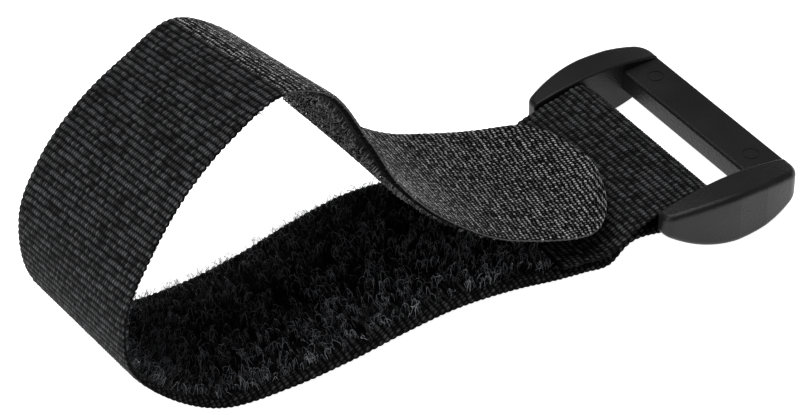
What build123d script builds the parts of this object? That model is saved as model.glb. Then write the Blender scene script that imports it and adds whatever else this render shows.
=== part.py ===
from build123d import *
import math
import os

# Hook-and-loop cinch strap with a one-piece rectangular loop buckle.
# Millimetres. +Z is up, +X points from the loop of tape towards the buckle, Y runs across the tape.
# The origin is the middle of the buckle's frame, on the surface that the strap rests on.

# ---------------------------------------------------------------- tape
TAPE_WIDTH = 25.0
TAPE_BASE = 0.6          # woven base of both tapes
PILE_HEIGHT = 1.3        # standing loop pile
HOOK_HEIGHT = 0.8        # moulded hooks on the tail
SELVEDGE = 1.8           # bare border along each edge, without pile or hooks
CRUSHED_PILE = 0.5       # the two pile faces pressed together under the return
HINGE_GAP = 0.3          # slit between two lengths of tape that bend against each other
NUDGE = 0.05             # small step along the course, in stations
SECTION_STEP = 0.35      # stations per loft section
TIP_RADIUS = 16.4        # the free end is one arc across the tape
TIP_SECTIONS = 7         # loft sections along half of that arc

# Course of the tape's ribbed outer face: x, y, height and lean (degrees) of its middle,
# from the join under the buckle, along the surface, round the loop and back over the return.
# A positive lean lifts the near edge.
COURSE = [
    (-9.0, 0.0, 2.45, 0.0),
    (-16.0, 0.0, 3.25, 0.0),
    (-23.0, 0.0, 4.2, 0.0),
    (-30.0, 0.0, 5.35, 0.0),
    (-37.5, 0.0, 5.7, -1.2),
    (-45.0, 0.0, 4.8, -0.5),
    (-52.0, 0.1, 3.35, 3.5),
    (-59.5, 0.3, 2.05, 5.3),
    (-67.7, 0.8, 2.35, 5.9),
    (-74.1, 1.7, 5.75, 7.3),
    (-78.5, 2.7, 11.55, 7.0),
    (-78.1, 3.8, 18.55, 4.0),
    (-74.1, 4.9, 24.65, 4.0),
    (-68.7, 5.8, 29.75, 7.0),
    (-62.3, 6.5, 33.55, 9.5),
    (-55.4, 7.1, 35.95, 10.0),
    (-49.3, 6.7, 32.95, 12.5),
    (-45.5, 5.6, 26.75, 9.5),
    (-41.9, 4.4, 20.65, 4.0),
    (-37.0, 3.2, 15.25, 2.0),
    (-31.2, 2.0, 10.95, 1.7),
    (-24.7, 0.8, 8.45, 0.7),
    (-17.7, -0.4, 6.95, 0.5),
    (-10.8, -1.6, 7.15, 0.5),
    (-5.0, -2.6, 7.45, 0.5),
]
FLOOR_START = 2          # station where the strand leaves the welded return
LOOP_BEND = 8.6          # station of the bend where the strand turns up
CREST = 15               # station of the top of the loop
TAB_BEND = 20.5          # station where the tail flattens onto the return
TIP = 23                 # station of the free end

# ---------------------------------------------------------------- fold round the buckle's bar
BAR_RADIUS = 2.25
BAR_CLEARANCE = 0.05
BAR_X = -3.45
BAR_Z = 3.75
EYE_RADIUS = BAR_RADIUS + BAR_CLEARANCE
FOLD_RADIUS = EYE_RADIUS + TAPE_BASE
SHOULDER_X = -8.8        # where the return starts to slope down off the bar
SHOULDER_Z = 5.5
CREASE_X = -12.0         # where strand and return part, in front of the weld
CREASE_Z = 2.95
WELD_LENGTH = 11.0       # strand and return are welded over this length, from the return's end

# ---------------------------------------------------------------- buckle
SLOT_LENGTH = 25.6       # between the rails
SLOT_HALF = SLOT_LENGTH / 2
RAIL_BACK = -9.3         # the rails' ends on the strap's side
RAIL_FRONT = 9.9
RAIL_OUTER = 17.0        # half width of the buckle at the middle of its bowed rails
RAIL_OUTER_BACK = 14.6   # the same at the rails' tapered back ends
RAIL_OUTER_FRONT = 15.9
RAIL_CORNER_BACK = 1.4   # plan radii of the outer corners
RAIL_CORNER_FRONT = 2.4
RAIL_CROWN = 7.15        # height of the rails' arched tops
RAIL_END_TOP = 5.95
RAIL_BELLY_BACK = 3.3    # the rails' bellies rise to here at their ends
RAIL_BELLY_FRONT = 2.8
RAIL_EDGE = 0.8          # rounding of the outer edges
RAIL_LIP = 0.25          # rounding of the top edge over the slot
CROSSBAR_WIDTH = 5.6
CROSSBAR_TOP = 5.75
CROSSBAR_THICK = 3.0
CROSSBAR_EDGE = 0.4
BAR_OVERLAP = 0.5        # how far both bars run into the rails
PIN_MARK_X = 7.1         # two ejector-pin marks on the crossbar's flat top
PIN_MARK_Y = 9.7
PIN_MARK_RADIUS = 1.1
PIN_MARK_WIDTH = 0.2
PIN_MARK_DEPTH = 0.06


def course_at(u):
    """Point on the tape's outer face, its lean and its direction, by a smooth curve through COURSE."""
    i = min(max(int(u), 1), len(COURSE) - 3)
    t = u - i
    value = []
    slope = []
    for a, b, c, d in zip(*COURSE[i - 1:i + 3]):
        square = 2 * a - 5 * b + 4 * c - d
        cube = 3 * (b - c) + d - a
        value.append(b + 0.5 * t * (c - a + t * (square + t * cube)))
        slope.append(0.5 * (c - a + t * (2 * square + 3 * t * cube)))
    return Vector(*value[:3]), value[3], Vector(*slope[:3]).normalized()


def tape_frame(u):
    """Middle of the outer face, the direction across the tape and the direction of its pile."""
    middle, lean, along = course_at(u)
    level = (Vector(0, 1, 0) - along * along.Y).normalized()
    angle = math.radians(lean)
    tilted = level * math.cos(angle) - Vector(0, 0, 1) * math.sin(angle)
    across = (tilted - along * tilted.dot(along)).normalized()
    return middle, across, across.cross(along)


def stations_per_mm(u):
    """How many stations one millimetre of the course is, at station u."""
    behind, _, _ = tape_frame(u - NUDGE)
    ahead, _, _ = tape_frame(u + NUDGE)
    return 2 * NUDGE / (ahead - behind).length


def ribbon(sections, low, high):
    """Solid through rectangles across the tape: each section is a station and a half width."""
    wires = []
    for u, half in sections:
        middle, across, inward = tape_frame(u)
        corners = [
            middle + across * half + inward * low,
            middle - across * half + inward * low,
            middle - across * half + inward * high,
            middle + across * half + inward * high,
        ]
        wires.append(Wire.make_polygon(corners, close=True))
    return Solid.make_loft(wires, ruled=True)


def even_sections(start, end, half):
    count = max(2, math.ceil((end - start) / SECTION_STEP))
    return [(start + (end - start) * k / count, half) for k in range(count + 1)]


def tip_sections(inset):
    """Narrowing sections for the arc of the free end, for a layer set in from the tape's edges."""
    radius = TIP_RADIUS - inset
    widest = math.asin(TAPE_WIDTH / 2 / TIP_RADIUS)
    sections = []
    for k in range(TIP_SECTIONS, 0, -1):
        ahead = TIP_RADIUS * math.cos(widest * k / TIP_SECTIONS)
        if ahead < radius:
            half = min(TAPE_WIDTH / 2 - inset, math.sqrt(radius ** 2 - ahead ** 2))
            sections.append((TIP - (TIP_RADIUS - ahead) * stations_per_mm(TIP), half))
    return sections


def strand(start, end, inset, low, high):
    half = TAPE_WIDTH / 2 - inset
    return ribbon(even_sections(start, end, half), low, high)


def tab(start, inset, low, high):
    """Length of tape that ends in the rounded tip."""
    tip = tip_sections(inset)
    tip_start, half = tip[0]
    return ribbon(even_sections(start, tip_start, half) + tip[1:], low, high)


def side_face(*edges):
    """A face in the X-Z plane, drawn as x, z points, ready to be extruded across the tape."""
    return make_face([Plane.XZ.location * edge for edge in edges])


def extrude_across(face, near, far):
    """Extrude an X-Z face from y = near to y = far."""
    return extrude(face.translate((0, near, 0)), amount=far - near, dir=(0, 1, 0))


def strand_side(offset):
    """Side view (x, z) of a layer of the strand up to the crease, offset from its outer face."""
    points = []
    for u in (FLOOR_START, FLOOR_START - 0.5, FLOOR_START - 1):
        middle, _, inward = tape_frame(u)
        spot = middle + inward * offset
        points.append((spot.X, spot.Z))
    return points + [(CREASE_X, CREASE_Z + offset)]


def layer_line(points):
    """Side view of one face of the fold: it leaves along the strand and arrives level at the bar."""
    start = (points[1][0] - points[0][0], points[1][1] - points[0][1])
    return Spline(points, tangents=[start, (1, 0)])


def hairpin_face(strand_offset, return_offset, radius):
    """Side view inside one face of the folded tape: strand, half turn round the bar, return."""
    drop = FOLD_RADIUS - radius
    below = strand_side(strand_offset) + [(BAR_X, BAR_Z - radius)]
    above = strand_side(return_offset) + [(SHOULDER_X, SHOULDER_Z - drop), (BAR_X, BAR_Z + radius)]
    turn = ThreePointArc(below[-1], (BAR_X + radius, BAR_Z), above[-1])
    return side_face(layer_line(below), turn, layer_line(above), Line(below[0], above[0]))


def inner_hairpin():
    return hairpin_face(TAPE_BASE, TAPE_BASE + CRUSHED_PILE, EYE_RADIUS)


def fold():
    """Tape from the strand, round the buckle's bar and back as the return."""
    outer = hairpin_face(0, 2 * TAPE_BASE + CRUSHED_PILE, FOLD_RADIUS)
    half = TAPE_WIDTH / 2
    return extrude_across(outer, -half, half) - extrude_across(inner_hairpin(), -half, half)


def crushed_pile():
    """The two pile faces welded together between the strand and the return."""
    half = TAPE_WIDTH / 2 - SELVEDGE
    end_x, _ = strand_side(TAPE_BASE + CRUSHED_PILE)[0]
    keep = Pos(end_x, 0, 0) * Box(2 * WELD_LENGTH, 2 * half, 4 * FOLD_RADIUS)
    return extrude_across(inner_hairpin(), -half, half) & keep


def rail_side():
    """Side view of a rail: arched top and bulged belly."""
    return side_face(
        ThreePointArc((RAIL_BACK, RAIL_END_TOP), (0, RAIL_CROWN), (RAIL_FRONT, RAIL_END_TOP)),
        Line((RAIL_FRONT, RAIL_END_TOP), (RAIL_FRONT, RAIL_BELLY_FRONT)),
        ThreePointArc((RAIL_FRONT, RAIL_BELLY_FRONT), (0, 0), (RAIL_BACK, RAIL_BELLY_BACK)),
        Line((RAIL_BACK, RAIL_BELLY_BACK), (RAIL_BACK, RAIL_END_TOP)),
    )


def rail_plan():
    """Plan of the far rail: bowed outer face, tapered towards the back, rounded corners."""
    plan = make_face([
        Line((RAIL_BACK, SLOT_HALF), (RAIL_FRONT, SLOT_HALF)),
        Line((RAIL_FRONT, SLOT_HALF), (RAIL_FRONT, RAIL_OUTER_FRONT)),
        ThreePointArc((RAIL_FRONT, RAIL_OUTER_FRONT), (0, RAIL_OUTER), (RAIL_BACK, RAIL_OUTER_BACK)),
        Line((RAIL_BACK, RAIL_OUTER_BACK), (RAIL_BACK, SLOT_HALF)),
    ])
    outer = plan.vertices().sort_by(Axis.Y)[2:].sort_by(Axis.X)
    plan = fillet(outer[1], RAIL_CORNER_FRONT)
    back = plan.vertices().filter_by(lambda v: v.Y > SLOT_HALF + RAIL_LIP).sort_by(Axis.X)[0]
    return fillet(back, RAIL_CORNER_BACK)


def is_outer_edge(edge):
    upright = abs(edge.tangent_at(0.5).Z) > 0.9
    return edge.center().Y > SLOT_HALF + RAIL_LIP and not upright


def is_lip(edge):
    """The top edge of a rail, over the slot."""
    on_slot = abs(edge.center().Y - SLOT_HALF) < RAIL_LIP / 10
    return on_slot and edge.center().Z > RAIL_END_TOP


def rail(side):
    """End rail of the buckle, on the far side (+1) or the near side (-1)."""
    body = extrude_across(rail_side(), SLOT_HALF, RAIL_OUTER) & extrude(rail_plan(), amount=2 * RAIL_CROWN)
    body = fillet(body.edges().filter_by(is_outer_edge), RAIL_EDGE)
    body = fillet(body.edges().filter_by(is_lip), RAIL_LIP)
    return body if side > 0 else mirror(body, Plane.XZ)


def pin_mark(side):
    """Shallow ring left by an ejector pin."""
    outer = Cylinder(PIN_MARK_RADIUS, PIN_MARK_DEPTH)
    ring = outer - Cylinder(PIN_MARK_RADIUS - PIN_MARK_WIDTH, PIN_MARK_DEPTH)
    return Pos(PIN_MARK_X, side * PIN_MARK_Y, CROSSBAR_TOP - PIN_MARK_DEPTH / 2) * ring


def crossbar():
    """Flat-topped outer crossbar with two faint ejector-pin marks."""
    centre_x = RAIL_FRONT - CROSSBAR_WIDTH / 2
    centre_z = CROSSBAR_TOP - CROSSBAR_THICK / 2
    bar = Box(CROSSBAR_WIDTH, SLOT_LENGTH + 2 * BAR_OVERLAP, CROSSBAR_THICK)
    bar = Pos(centre_x, 0, centre_z) * fillet(bar.edges().filter_by(Axis.Y), CROSSBAR_EDGE)
    return bar - pin_mark(1) - pin_mark(-1)


def inner_bar():
    """Round bar that the tape is folded over, hidden inside the fold."""
    return Pos(BAR_X, 0, BAR_Z) * Rot(90, 0, 0) * Cylinder(BAR_RADIUS, SLOT_LENGTH + 2 * BAR_OVERLAP)


def buckle():
    return rail(1) + rail(-1) + crossbar() + inner_bar()


def parts():
    half_gap = HINGE_GAP / 2
    loop_gap = half_gap * stations_per_mm(LOOP_BEND)
    crest_gap = half_gap * stations_per_mm(CREST)
    tab_gap = half_gap * stations_per_mm(TAB_BEND)
    pile_top = TAPE_BASE + PILE_HEIGHT
    hook_top = TAPE_BASE + HOOK_HEIGHT
    return {
        "loop_buckle": buckle(),
        "loop_tape_fold": fold(),
        "loop_pile_welded": crushed_pile(),
        "loop_tape_floor": strand(FLOOR_START, LOOP_BEND - loop_gap, 0, 0, TAPE_BASE),
        "loop_pile_floor": strand(FLOOR_START, LOOP_BEND - loop_gap, SELVEDGE, TAPE_BASE, pile_top),
        "loop_tape_rise": strand(LOOP_BEND + loop_gap, CREST - crest_gap, 0, 0, TAPE_BASE),
        "loop_pile_rise": strand(LOOP_BEND + loop_gap, CREST - crest_gap, SELVEDGE, TAPE_BASE, pile_top),
        "hook_tape_tail": strand(CREST + crest_gap, TAB_BEND - tab_gap, 0, 0, TAPE_BASE),
        "hook_field_tail": strand(CREST + crest_gap, TAB_BEND - tab_gap, SELVEDGE, TAPE_BASE, hook_top),
        "hook_tape_tab": tab(TAB_BEND + tab_gap, 0, 0, TAPE_BASE),
        "hook_field_tab": tab(TAB_BEND + tab_gap, SELVEDGE, TAPE_BASE, hook_top),
    }


os.makedirs("parts", exist_ok=True)
for name, solid in parts().items():
    export_step(solid, "parts/" + name + ".step")
    print(name, round(solid.volume, 1), solid.is_valid)
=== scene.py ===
import math

import bpy
import numpy as np
from mathutils import Matrix, Vector


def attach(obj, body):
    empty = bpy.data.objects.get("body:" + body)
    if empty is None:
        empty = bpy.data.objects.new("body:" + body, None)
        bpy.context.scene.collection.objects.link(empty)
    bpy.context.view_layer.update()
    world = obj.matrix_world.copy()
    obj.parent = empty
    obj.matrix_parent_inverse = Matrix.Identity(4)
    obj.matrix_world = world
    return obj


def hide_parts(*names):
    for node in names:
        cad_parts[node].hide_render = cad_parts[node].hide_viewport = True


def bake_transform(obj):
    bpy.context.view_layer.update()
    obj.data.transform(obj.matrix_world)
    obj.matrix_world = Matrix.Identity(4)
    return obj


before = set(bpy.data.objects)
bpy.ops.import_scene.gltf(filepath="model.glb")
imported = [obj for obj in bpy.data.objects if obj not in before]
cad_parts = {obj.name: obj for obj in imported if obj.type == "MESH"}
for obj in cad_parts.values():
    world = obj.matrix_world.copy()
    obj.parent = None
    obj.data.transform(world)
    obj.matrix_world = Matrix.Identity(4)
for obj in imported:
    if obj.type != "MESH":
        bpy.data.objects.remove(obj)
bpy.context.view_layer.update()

MM = 0.001

# ---------------------------------------------------------------- the tape's course
# Lengths are in millimetres. The widths, thicknesses, bar and crease are those of part.py.
TAPE_WIDTH = 25.0
TAPE_BASE = 0.6
PILE_HEIGHT = 1.3
HOOK_HEIGHT = 0.8
SELVEDGE = 1.8
STRAY = 0.5
FAR_STRAY = 1.5
CRUSHED_PILE = 0.5
TIP_RADIUS = 16.4

# x, y, height and lean (degrees) of the middle of the tape's ribbed outer face. These rows are older
# than part.py's, which lie 0.45 mm higher, or up to 2.45 mm higher from the buckle to the left bend,
# where y and lean differ a little too.
COURSE = np.array([
    (-9.0, 0.0, 0.5, 0.0),
    (-16.0, 0.0, 0.8, 0.0),
    (-23.0, 0.0, 1.8, 0.0),
    (-30.0, 0.0, 3.3, 0.0),
    (-37.5, 0.0, 4.2, 0.0),
    (-45.0, 0.0, 3.6, 1.5),
    (-52.0, 0.2, 2.3, 3.5),
    (-59.5, 0.5, 1.5, 5.0),
    (-67.7, 1.0, 1.9, 5.8),
    (-74.1, 1.7, 5.3, 7.3),
    (-78.5, 2.7, 11.1, 7.0),
    (-78.1, 3.8, 18.1, 4.0),
    (-74.1, 4.9, 24.2, 4.0),
    (-68.7, 5.8, 29.3, 7.0),
    (-62.3, 6.5, 33.1, 9.5),
    (-55.4, 7.1, 35.5, 10.0),
    (-49.3, 6.7, 32.5, 12.5),
    (-45.5, 5.6, 26.3, 9.5),
    (-41.9, 4.4, 20.2, 4.0),
    (-37.0, 3.2, 14.8, 2.0),
    (-31.2, 2.0, 10.5, 1.7),
    (-24.7, 0.8, 8.0, 0.7),
    (-17.7, -0.4, 6.5, 0.5),
    (-10.8, -1.6, 6.7, 0.5),
    (-5.0, -2.6, 7.0, 0.5),
])
FLOOR_START = 2
RISE_SEAM = 11.5
CREST = 15
TAIL_SEAM = 17.8
TIP = 23
BAR_X = -3.45
BAR_Z = 3.75
FOLD_RADIUS = 2.9
SHOULDER_X = -8.8
SHOULDER_Z = 5.5
CREASE_X = -12.0
CREASE_Z = 2.95
ROUTE_STEP = 0.1
TIP_FLAT = 0.08
LEG_SAMPLES = 200
TURN_SAMPLES = 60
RETURN_SAMPLES = 51
LEG_PICKS = (0, 25, 50)
COURSE_SAMPLES = 2000


def smooth_rows(rows, u):
    """Rows of numbers at stations u, on a smooth curve through the given rows."""
    i = np.clip(u.astype(int), 1, len(rows) - 3)
    t = (u - i)[:, None]
    a, b, c, d = rows[i - 1], rows[i], rows[i + 1], rows[i + 2]
    return b + 0.5 * t * (c - a + t * (2 * a - 5 * b + 4 * c - d + t * (3 * (b - c) + d - a)))


def unit(rows):
    return rows / np.linalg.norm(rows, axis=1)[:, None]


def frames(rows):
    """Directions across the tape and towards its pile, for rows of x, y, z and lean."""
    along = unit(np.gradient(rows[:, :3], axis=0))
    level = unit(np.array([0.0, 1.0, 0.0]) - along * along[:, 1:2])
    lean = np.radians(rows[:, 3])[:, None]
    across = level * np.cos(lean) - np.array([0.0, 0.0, 1.0]) * np.sin(lean)
    across = unit(across - along * np.sum(across * along, axis=1)[:, None])
    return across, np.cross(across, along)


def leg(points):
    """Smooth leg of the fold through x, z points, lying level across the tape."""
    first = 2 * np.array(points[0]) - np.array(points[1])
    last = 2 * np.array(points[-1]) - np.array(points[-2])
    rows = np.array([(x, 0.0, z, 0.0) for x, z in [first, *points, last]])
    return smooth_rows(rows, np.linspace(1, len(points), LEG_SAMPLES))


def make_route():
    """The tape's outer face from the return's end, round the bar and along the course to the tip."""
    start = np.linspace(1, FLOOR_START, RETURN_SAMPLES)
    rows = smooth_rows(COURSE, start)
    _, inward = frames(rows)
    stack = 2 * TAPE_BASE + CRUSHED_PILE
    over = rows[:, :3] + inward * stack
    under = [(rows[k, 0], rows[k, 2]) for k in LEG_PICKS]
    above = [(over[k, 0], over[k, 2]) for k in LEG_PICKS[::-1]]
    top_face = [(CREASE_X, CREASE_Z + stack), (SHOULDER_X, SHOULDER_Z), (BAR_X, BAR_Z + FOLD_RADIUS)]
    top = leg(above + top_face)
    bottom = leg([(BAR_X, BAR_Z - FOLD_RADIUS), (CREASE_X, CREASE_Z)] + under)
    turn = np.linspace(math.pi / 2, -math.pi / 2, TURN_SAMPLES)[1:-1]
    level = np.zeros(len(turn))
    bend_x = BAR_X + FOLD_RADIUS * np.cos(turn)
    bend_z = BAR_Z + FOLD_RADIUS * np.sin(turn)
    bend = np.column_stack([bend_x, level, bend_z, level])
    stations = np.linspace(FLOOR_START, TIP + 1, COURSE_SAMPLES)[1:]
    rows = np.concatenate([top, bend, bottom, smooth_rows(COURSE, stations)])
    step = np.linalg.norm(np.diff(rows[:, :3], axis=0), axis=1)
    length = np.concatenate([[0.0], np.cumsum(step)])
    even = np.arange(0, length[-1], ROUTE_STEP)
    rows = np.column_stack([np.interp(even, length, column) for column in rows.T])
    across, inward = frames(rows)
    return even, rows[:, :3], across, inward, stations, length[-len(stations):]


ALONG, MIDDLE, ACROSS, INWARD, STATIONS, STATION_LENGTH = make_route()


def at_station(u):
    """Length along the route of a station of the course."""
    return float(np.interp(u, STATIONS, STATION_LENGTH))


def look_up(s, table):
    return np.stack([np.interp(s, ALONG, column) for column in table.T], axis=-1)


def place(s, v, h):
    """Points in metres at s along the tape, v across it and h from its outer face to its pile."""
    point = look_up(s, MIDDLE) + look_up(s, ACROSS) * v[..., None] + look_up(s, INWARD) * h[..., None]
    return point * MM


# ---------------------------------------------------------------- meshes
def add_mesh(name, points, faces, material, attributes=()):
    """A smooth-shaded mesh object; attributes are (name, one value per point)."""
    mesh = bpy.data.meshes.new(name)
    mesh.from_pydata(points.reshape(-1, 3).tolist(), [], faces)
    for title, values in attributes:
        layer = mesh.attributes.new(title, "FLOAT", "POINT")
        layer.data.foreach_set("value", np.ascontiguousarray(values, dtype=np.float32).ravel())
    mesh.polygons.foreach_set("use_smooth", [True] * len(mesh.polygons))
    mesh.materials.append(material)
    mesh.update()
    obj = bpy.data.objects.new(name, mesh)
    bpy.context.scene.collection.objects.link(obj)
    return obj


def ring_faces(rows, ring):
    """Quads between successive closed rings of points."""
    index = np.arange(rows * ring).reshape(rows, ring)
    following = np.roll(index, -1, axis=1)
    quads = np.stack([index[:-1], following[:-1], following[1:], index[1:]], axis=-1)
    return quads.reshape(-1, 4).tolist()


# Both weaves are rows of beads that run across the tape. "row" and "bead" are their spacings, "depth"
# is their height, "skew" slants the beads within a row and "wobble" bends the rows. "lower" is the share
# of height and painted glint that every second row keeps. "peak" narrows the painted glint, a highlight
# painted into the base colour, to the tops of the beads. "rim" is the painted sheen of the edge faces and
# "inner" scales the painted glint of the selvedges on the inner face.
LOOP_WEAVE = {
    "row": 0.80,
    "bead": 0.46,
    "depth": 0.24,
    "skew": 0.6,
    "wobble": 0.04,
    "lower": 0.85,
    "peak": 1.8,
    "rim": 0.03,
    "inner": 0.6,
    "seed": 3,
}
HOOK_WEAVE = {
    "row": 0.58,
    "bead": 0.44,
    "depth": 0.18,
    "skew": 0.5,
    "wobble": 0.1,
    "lower": 0.7,
    "peak": 3.4,
    "rim": 0.12,
    "inner": 0.15,
    "seed": 7,
}
# Each bead looks its luck up in a grid of random values; the offset keeps bead numbers positive.
CHANCE_ROWS = 700
CHANCE_CELLS = 90
CELL_OFFSET = 45
SCALLOP = 0.13
STEPS_PER_ROW = 4
COLUMNS_PER_BEAD = 4
EDGE_THICKNESS = 0.3
SELVEDGE_COLUMNS = 14
TIP_ROUNDING = 10.0
EDGE_BULGE = 0.1
SELVEDGE_ACROSS = np.linspace(1.0, 1.0 - 2.1 * SELVEDGE / TAPE_WIDTH, SELVEDGE_COLUMNS)
INNER_ACROSS = np.concatenate([SELVEDGE_ACROSS, [0.4, 0.0, -0.4], -SELVEDGE_ACROSS[::-1]])


def weave_relief(s, v, weave):
    """Height of the woven face and each bead's painted glint, a highlight painted into its colour, over grids
    of s and v.
    """
    rng = np.random.default_rng(weave["seed"])
    chance = rng.random((CHANCE_ROWS, CHANCE_CELLS))
    wobble = np.sin(2.1 * v + 0.7 * s) + 0.7 * np.sin(5.3 * v - 1.9 * s)
    line = s / weave["row"] + weave["wobble"] * wobble
    row = np.floor(line)
    odd = np.mod(row, 2)
    chance_row = row.astype(int) % CHANCE_ROWS
    bead = v / weave["bead"] + chance[chance_row, 0] + weave["skew"] * (line - row) + CELL_OFFSET
    cell = np.floor(bead)
    luck = chance[chance_row, cell.astype(int) % CHANCE_CELLS]
    crown = np.sin(np.pi * (line - row))
    knot = np.sin(np.pi * (bead - cell)) ** 0.8
    level = 1 - odd * (1 - weave["lower"])
    height = weave["depth"] * level * crown * (0.35 + 0.65 * knot * (0.7 + 0.3 * luck))
    return height, level * (0.2 + 0.8 * luck) * (crown * knot) ** weave["peak"]


def tip_half(s, end, inset=0.0):
    """Half width of the tape at s, narrowing along the arc of a free end at end."""
    ahead = np.clip(TIP_RADIUS - (end - s), 0, TIP_RADIUS - inset - TIP_FLAT)
    arc = np.sqrt((TIP_RADIUS - inset) ** 2 - ahead ** 2)
    half = TAPE_WIDTH / 2 - inset
    rounded = (arc ** -TIP_ROUNDING + half ** -TIP_ROUNDING) ** (-1 / TIP_ROUNDING)
    return np.where(end - s < TIP_RADIUS, rounded, half)


def tape_piece(name, start, end, weave, material, free_end=False):
    """Woven tape: ribbed outer face, scalloped edges, inner face plain between ribbed selvedges."""
    step = weave["row"] / STEPS_PER_ROW
    s = np.arange(math.ceil(start / step) * step, end, step)
    s = np.concatenate([[start], s, [end]])
    half = tip_half(s, end) if free_end else np.full(len(s), TAPE_WIDTH / 2)
    half = (half + SCALLOP * (np.abs(np.sin(np.pi * s / LOOP_WEAVE["row"])) - 0.5))[:, None]
    columns = int(TAPE_WIDTH / weave["bead"] * COLUMNS_PER_BEAD)
    across = np.linspace(-1, 1, columns)
    v = half * across
    s_grid = np.repeat(s[:, None], columns, axis=1)
    relief, painted_glint = weave_relief(s_grid, v, weave)
    fade = np.clip((1 - np.abs(across)) * 20, 0.25, 1)
    outer = place(s_grid, v, -relief * fade)
    ones = np.ones((len(s), 2))
    side_s = s[:, None] * ones
    side_lift = np.array([0.3, 0.7]) * EDGE_THICKNESS
    right = place(side_s, half + EDGE_BULGE * ones, ones * side_lift)
    left = place(side_s, -half - EDGE_BULGE * ones, ones * side_lift[::-1])
    inner_s = np.repeat(s[:, None], len(INNER_ACROSS), axis=1)
    inner_relief, inner_painted_glint = weave_relief(inner_s, half * INNER_ACROSS, weave)
    on_edge = np.abs(INNER_ACROSS) > SELVEDGE_ACROSS[-1] - 0.01
    thickness = np.interp(np.abs(INNER_ACROSS), [0.95, 1.0], [TAPE_BASE, EDGE_THICKNESS])
    inner = place(inner_s, half * INNER_ACROSS, thickness + 0.5 * inner_relief * on_edge)
    points = np.concatenate([outer, right, inner, left], axis=1)
    ring = points.shape[1]
    faces = ring_faces(len(s), ring)
    faces.append(list(range(ring))[::-1])
    faces.append([(len(s) - 1) * ring + k for k in range(ring)])
    # Painted highlight: these glint values lighten the base colour on bead tops, edge faces and inner
    # selvedges.
    painted_glint_values = np.full((len(s), ring), weave["rim"])
    painted_glint_values[:, :columns] = painted_glint
    first = columns + 2
    painted_glint_values[:, first:first + len(INNER_ACROSS)] = weave["inner"] * inner_painted_glint * on_edge
    return add_mesh(name, points, faces, material, [("painted_glint", painted_glint_values)])


def tubes(name, paths, radius, material, painted_glint_values):
    """Thin three-sided tubes along many short paths: paths is (tubes, points, 3) in metres."""
    count, steps, _ = paths.shape
    along = np.gradient(paths, axis=1)
    along /= np.linalg.norm(along, axis=2)[..., None] + 1e-12
    side = np.cross(along, np.array([0.31, 0.52, 0.79]))
    side /= np.linalg.norm(side, axis=2)[..., None] + 1e-12
    other = np.cross(along, side)
    rings = []
    for k in range(3):
        angle = 2 * math.pi * k / 3
        rings.append(paths + radius * (side * math.cos(angle) + other * math.sin(angle)))
    points = np.stack(rings, axis=2)
    index = np.arange(count * steps * 3).reshape(count, steps, 3)
    following = np.roll(index, -1, axis=2)
    quads = np.stack([index[:, :-1], following[:, :-1], following[:, 1:], index[:, 1:]], axis=-1)
    # Each tube's value goes into the painted glint attribute, a highlight painted into its colour.
    values = np.repeat(painted_glint_values, steps * 3)
    return add_mesh(name, points, quads.reshape(-1, 4).tolist(), material, [("painted_glint", values)])


FIBRE_POINTS = 6
FIBRE_RADIUS = 0.02
WILD_SHARE = 0.04
WILD_STRETCH = 1.5
CRUSHED_LENGTH = 8
WELD_DENSITY = 7.0
LOWER_DENSITY = 6.2
UPPER_DENSITY = 6.5
HOOK_SPACING = 0.62
HOOK_JITTER = 0.08
HOOK_LEAN = 0.1
HOOK_RADIUS = 0.07
# One hook, root to tip: how far forward of its root, and its height as a share of HOOK_HEIGHT
HOOK_PROFILE = np.array([(0.0, 0.0), (0.0, 0.5), (0.06, 0.75), (0.22, 0.88), (0.38, 0.78), (0.4, 0.6)])


def pile_piece(name, start, end, density, height, material, seed):
    """Curly loop fibres standing on the tape's inner face; density is fibres per square millimetre."""
    rng = np.random.default_rng(seed)
    half = TAPE_WIDTH / 2 - SELVEDGE
    count = int((end - start) * 2 * half * density)
    s = rng.uniform(start, end, count)[:, None]
    v = rng.uniform(-half - STRAY, half + FAR_STRAY, count)[:, None]
    turn = rng.uniform(0, 2 * math.pi, count)[:, None]
    reach = rng.uniform(0.3, 1.1, count)[:, None]
    rise = (height * rng.uniform(0.35, 1.0, count) ** 0.7)[:, None]
    wild = rng.random(count)[:, None] < WILD_SHARE
    rise = np.where(wild, rise * WILD_STRETCH, rise)
    sway = rng.uniform(-0.5, 0.5, count)[:, None]
    phase = rng.uniform(0, 2 * math.pi, count)[:, None]
    t = np.linspace(0, 1, FIBRE_POINTS)[None, :]
    run = reach * (t - 0.5)
    wave = sway * np.sin(2 * math.pi * t + phase)
    along = s + run * np.cos(turn) - wave * np.sin(turn)
    across = v + run * np.sin(turn) + wave * np.cos(turn)
    lift = TAPE_BASE + rise * np.sin(math.pi * t) ** 0.6
    paths = place(np.clip(along, start, end), across, lift)
    # Painted highlight: a few random fibres get a strong glint value that lightens their colour.
    return tubes(name, paths, FIBRE_RADIUS * MM, material, rng.random(count) ** 3)


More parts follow.
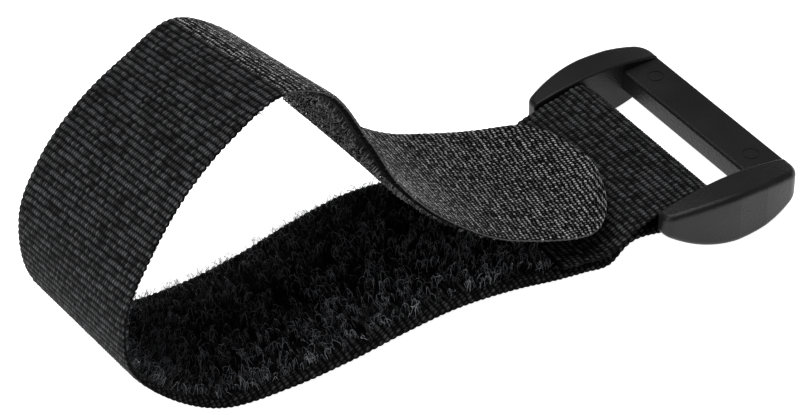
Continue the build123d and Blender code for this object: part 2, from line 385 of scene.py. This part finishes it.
def hook_piece(name, start, end, material, seed, free_end=False):
    """Rows of moulded hooks on the tape's inner face."""
    rng = np.random.default_rng(seed)
    half = TAPE_WIDTH / 2 - SELVEDGE
    rows = np.arange(start, end, HOOK_SPACING)
    columns = np.arange(-half, half, HOOK_SPACING)
    s, v = np.meshgrid(rows, columns, indexing="ij")
    s = s.ravel()[:, None] + rng.uniform(-HOOK_JITTER, HOOK_JITTER, s.size)[:, None]
    v = v.ravel()[:, None] + rng.uniform(-HOOK_JITTER, HOOK_JITTER, v.size)[:, None]
    if free_end:
        keep = (np.abs(v) < tip_half(s, end, SELVEDGE)).ravel()
        s = s[keep]
        v = v[keep]
    turn = np.where(rng.random(len(s)) < 0.5, 1.0, -1.0)[:, None]
    lean = rng.uniform(-HOOK_LEAN, HOOK_LEAN, len(s))[:, None]
    forward = turn * HOOK_PROFILE[None, :, 0] + lean * HOOK_PROFILE[None, :, 1]
    lift = TAPE_BASE + HOOK_HEIGHT * HOOK_PROFILE[None, :, 1]
    paths = place(s + forward, v + 0 * forward, lift + 0 * forward)
    # Painted highlight: each hook gets a random glint value that lightens its colour into a sparkle.
    return tubes(name, paths, HOOK_RADIUS * MM, material, rng.random(len(s)))


# ---------------------------------------------------------------- materials
YARN_NOISE = 9000.0
YARN_BUMP = 0.00005
# Painted glint value at which the yarn reaches its painted highlight colour
PAINTED_GLINT_FULL = 0.45
GRAIN_NOISE = 3600.0
GRAIN_BUMP = 0.00008
CLOUD_NOISE = 160.0
FLOOR_GLOW = 0.95


def new_material(name):
    material = bpy.data.materials.new(name)
    material.use_nodes = True
    nodes = material.node_tree.nodes
    return material, nodes, material.node_tree.links, nodes["Principled BSDF"]


def noise(nodes, links, scale, detail=2.0):
    coordinates = nodes.new("ShaderNodeTexCoord")
    texture = nodes.new("ShaderNodeTexNoise")
    texture.inputs["Scale"].default_value = scale
    texture.inputs["Detail"].default_value = detail
    links.new(coordinates.outputs["Object"], texture.inputs["Vector"])
    return texture


def ramp(nodes, links, source, low, high, start=0.0, end=1.0):
    """Colour from low to high as source goes from start to end."""
    blend = nodes.new("ShaderNodeValToRGB")
    blend.color_ramp.elements[0].position = start
    blend.color_ramp.elements[1].position = end
    blend.color_ramp.elements[0].color = (*low, 1)
    blend.color_ramp.elements[1].color = (*high, 1)
    links.new(source, blend.inputs["Fac"])
    return blend.outputs["Color"]


def yarn_material(name, dark, painted_glint_colour, roughness, start, specular):
    """Black yarn whose base colour is lightened towards a painted highlight colour where the glint value is
    high, with fine fibre noise.
    """
    material, nodes, links, shader = new_material(name)
    painted_glint = nodes.new("ShaderNodeAttribute")
    painted_glint.attribute_name = "painted_glint"
    fibre = noise(nodes, links, YARN_NOISE)
    product = nodes.new("ShaderNodeMath")
    product.operation = "MULTIPLY"
    links.new(painted_glint.outputs["Fac"], product.inputs[0])
    links.new(fibre.outputs["Fac"], product.inputs[1])
    colour = ramp(nodes, links, product.outputs[0], dark, painted_glint_colour, start, PAINTED_GLINT_FULL)
    links.new(colour, shader.inputs["Base Color"])
    bump = nodes.new("ShaderNodeBump")
    bump.inputs["Strength"].default_value = 0.4
    bump.inputs["Distance"].default_value = YARN_BUMP
    links.new(fibre.outputs["Fac"], bump.inputs["Height"])
    links.new(bump.outputs["Normal"], shader.inputs["Normal"])
    shader.inputs["Roughness"].default_value = roughness
    shader.inputs["Specular IOR Level"].default_value = specular
    return material


def plastic_material():
    """Moulded charcoal plastic with a fine spark-eroded grain."""
    material, nodes, links, shader = new_material("buckle_plastic")
    grain = noise(nodes, links, GRAIN_NOISE, 3.0)
    cloud = noise(nodes, links, CLOUD_NOISE, 2.0)
    dark = (0.006, 0.006, 0.0065)
    light = (0.012, 0.012, 0.0125)
    colour = ramp(nodes, links, cloud.outputs["Fac"], dark, light, 0.3, 0.7)
    links.new(colour, shader.inputs["Base Color"])
    bump = nodes.new("ShaderNodeBump")
    bump.inputs["Strength"].default_value = 0.6
    bump.inputs["Distance"].default_value = GRAIN_BUMP
    links.new(grain.outputs["Fac"], bump.inputs["Height"])
    links.new(bump.outputs["Normal"], shader.inputs["Normal"])
    shader.inputs["Roughness"].default_value = 0.36
    shader.inputs["Specular IOR Level"].default_value = 0.24
    return material


def floor_material():
    material, nodes, links, shader = new_material("studio_floor")
    cloud = noise(nodes, links, 3.0)
    tone = ramp(nodes, links, cloud.outputs["Fac"], (0.93, 0.93, 0.93), (0.95, 0.95, 0.95))
    links.new(tone, shader.inputs["Base Color"])
    shader.inputs["Roughness"].default_value = 0.9
    shader.inputs["Specular IOR Level"].default_value = 0.1
    shader.inputs["Emission Color"].default_value = (1.0, 1.0, 1.0, 1.0)
    shader.inputs["Emission Strength"].default_value = FLOOR_GLOW
    return material


# ---------------------------------------------------------------- pieces
def blend_at(obj, first, second, start, end):
    """Bake a piece's transform into its mesh; the two bodies and the two points are not used."""
    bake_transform(obj)


# Each turn: the bodies before and after it, and the points in millimetres where it starts and ends
LOOP_TURN = ("strap", "rise", (-64.0, 0.0, 1.5), (-80.0, 0.0, 10.5))
CREST_TURN = ("rise", "tail", (-61.0, 7.0, 35.0), (-50.0, 7.0, 34.0))
TAB_TURN = ("tail", "tab", (-33.0, 0.0, 12.0), (-23.5, 0.0, 8.0))


def build_tape():
    # Each yarn: its own dark colour, then the painted highlight colour that its glint mixes in
    loop = yarn_material("loop_tape_yarn", (0.002, 0.002, 0.0024), (0.135, 0.137, 0.142), 0.65, 0.02, 0.04)
    hook = yarn_material("hook_tape_yarn", (0.001, 0.001, 0.0014), (1.0, 1.0, 1.0), 0.6, 0.03, 0.04)
    pile = yarn_material("pile_fibre", (0.001, 0.001, 0.0014), (0.6, 0.62, 0.66), 0.5, 0.07, 0.06)
    hooks = yarn_material("hook_filament", (0.002, 0.002, 0.003), (0.22, 0.22, 0.22), 0.25, 0.2, 0.4)
    rise_seam = at_station(RISE_SEAM)
    crest = at_station(CREST)
    tail_seam = at_station(TAIL_SEAM)
    tip = at_station(TIP)
    floor_start = at_station(FLOOR_START)

    fold = tape_piece("loop_tape_fold_woven", 0.0, floor_start, LOOP_WEAVE, loop)
    lower = tape_piece("loop_tape_lower", floor_start, rise_seam, LOOP_WEAVE, loop)
    upper = tape_piece("loop_tape_upper", rise_seam, crest, LOOP_WEAVE, loop)
    tail = tape_piece("hook_tape_upper", crest, tail_seam, HOOK_WEAVE, hook)
    tab = tape_piece("hook_tape_end", tail_seam, tip, HOOK_WEAVE, hook, free_end=True)
    weld_start = floor_start - CRUSHED_LENGTH
    pile_weld = pile_piece("loop_pile_crushed", weld_start, floor_start, WELD_DENSITY, CRUSHED_PILE, pile, 10)
    pile_low = pile_piece("loop_pile_lower", floor_start, rise_seam, LOWER_DENSITY, PILE_HEIGHT, pile, 11)
    pile_high = pile_piece("loop_pile_upper", rise_seam, crest, UPPER_DENSITY, PILE_HEIGHT, pile, 12)
    hooks_tail = hook_piece("hook_field_upper", crest, tail_seam, hooks, 13)
    hooks_tab = hook_piece("hook_field_end", tail_seam, tip, hooks, 14, free_end=True)

    for obj in (fold, pile_weld):
        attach(obj, "strap")
    for obj in (lower, pile_low):
        blend_at(obj, *LOOP_TURN)
    for obj in (upper, pile_high, tail, hooks_tail):
        blend_at(obj, *CREST_TURN)
    for obj in (tab, hooks_tab):
        blend_at(obj, *TAB_TURN)

    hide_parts("loop_tape_fold")
    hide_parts("loop_tape_floor")
    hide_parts("loop_tape_rise")
    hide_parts("hook_tape_tail")
    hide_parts("hook_tape_tab")
    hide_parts("loop_pile_welded")
    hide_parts("loop_pile_floor")
    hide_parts("loop_pile_rise")
    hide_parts("hook_field_tail")
    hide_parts("hook_field_tab")


def finish_buckle():
    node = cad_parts["loop_buckle"]
    material = plastic_material()
    for slot in node.material_slots:
        slot.material = material


# ---------------------------------------------------------------- studio
FLOOR_REACH = 3.0
LIGHT_TARGET = (-0.035, 0.0, 0.01)
OVERHEAD_POWER = 5.2
LEFT_POWER = 2.0
WORLD_POWER = 0.2


def build_floor():
    corners = [(-1, -1, 0), (1, -1, 0), (1, 1, 0), (-1, 1, 0)]
    points = FLOOR_REACH * np.array(corners, dtype=float)
    floor = add_mesh("studio_floor", points, [(0, 1, 2, 3)], floor_material())


def aim(obj, eye, target):
    obj.location = eye
    obj.rotation_euler = (Vector(target) - Vector(eye)).to_track_quat("-Z", "Y").to_euler()


def add_light(name, eye, target, size, power):
    light = bpy.data.lights.new(name, "AREA")
    light.shape = "DISK"
    light.size = size
    light.energy = power
    obj = bpy.data.objects.new(name, light)
    aim(obj, eye, target)
    bpy.context.scene.collection.objects.link(obj)


def build_lights():
    add_light("overhead_softbox", (-0.05, 0.15, 0.9), LIGHT_TARGET, 0.8, OVERHEAD_POWER)
    add_light("left_softbox", (-0.8, -0.1, 0.5), LIGHT_TARGET, 0.5, LEFT_POWER)
    world = bpy.data.worlds.new("studio")
    world.use_nodes = True
    world.node_tree.nodes["Background"].inputs["Color"].default_value = (1.0, 1.0, 1.0, 1.0)
    world.node_tree.nodes["Background"].inputs["Strength"].default_value = WORLD_POWER
    bpy.context.scene.world = world


# The camera, fitted to the photograph: angles, distance and aim in metres, and lens in millimetres
AZIMUTH = math.radians(-32.19)
ELEVATION = math.radians(38.42)
ROLL = math.radians(-1.02)
DISTANCE = 0.36408
TARGET = Vector((-0.03219, 0.00834, 0.00287))
SENSOR = 36.0
LENS = 135.468


def build_camera():
    back = Vector((
        math.sin(AZIMUTH) * math.cos(ELEVATION),
        -math.cos(AZIMUTH) * math.cos(ELEVATION),
        math.sin(ELEVATION),
    ))
    right = Vector((math.cos(AZIMUTH), math.sin(AZIMUTH), 0))
    up = back.cross(right)
    tilted = right * math.cos(ROLL) + up * math.sin(ROLL)
    upright = up * math.cos(ROLL) - right * math.sin(ROLL)
    camera = bpy.data.cameras.new("camera")
    camera.sensor_width = SENSOR
    camera.lens = LENS
    obj = bpy.data.objects.new("camera", camera)
    turn = Matrix((tilted, upright, back)).transposed().to_4x4()
    obj.matrix_world = Matrix.Translation(TARGET + back * DISTANCE) @ turn
    bpy.context.scene.collection.objects.link(obj)
    bpy.context.scene.camera = obj


build_camera()
build_tape()
finish_buckle()
build_floor()
build_lights()
bpy.context.scene.view_settings.view_transform = "Standard"
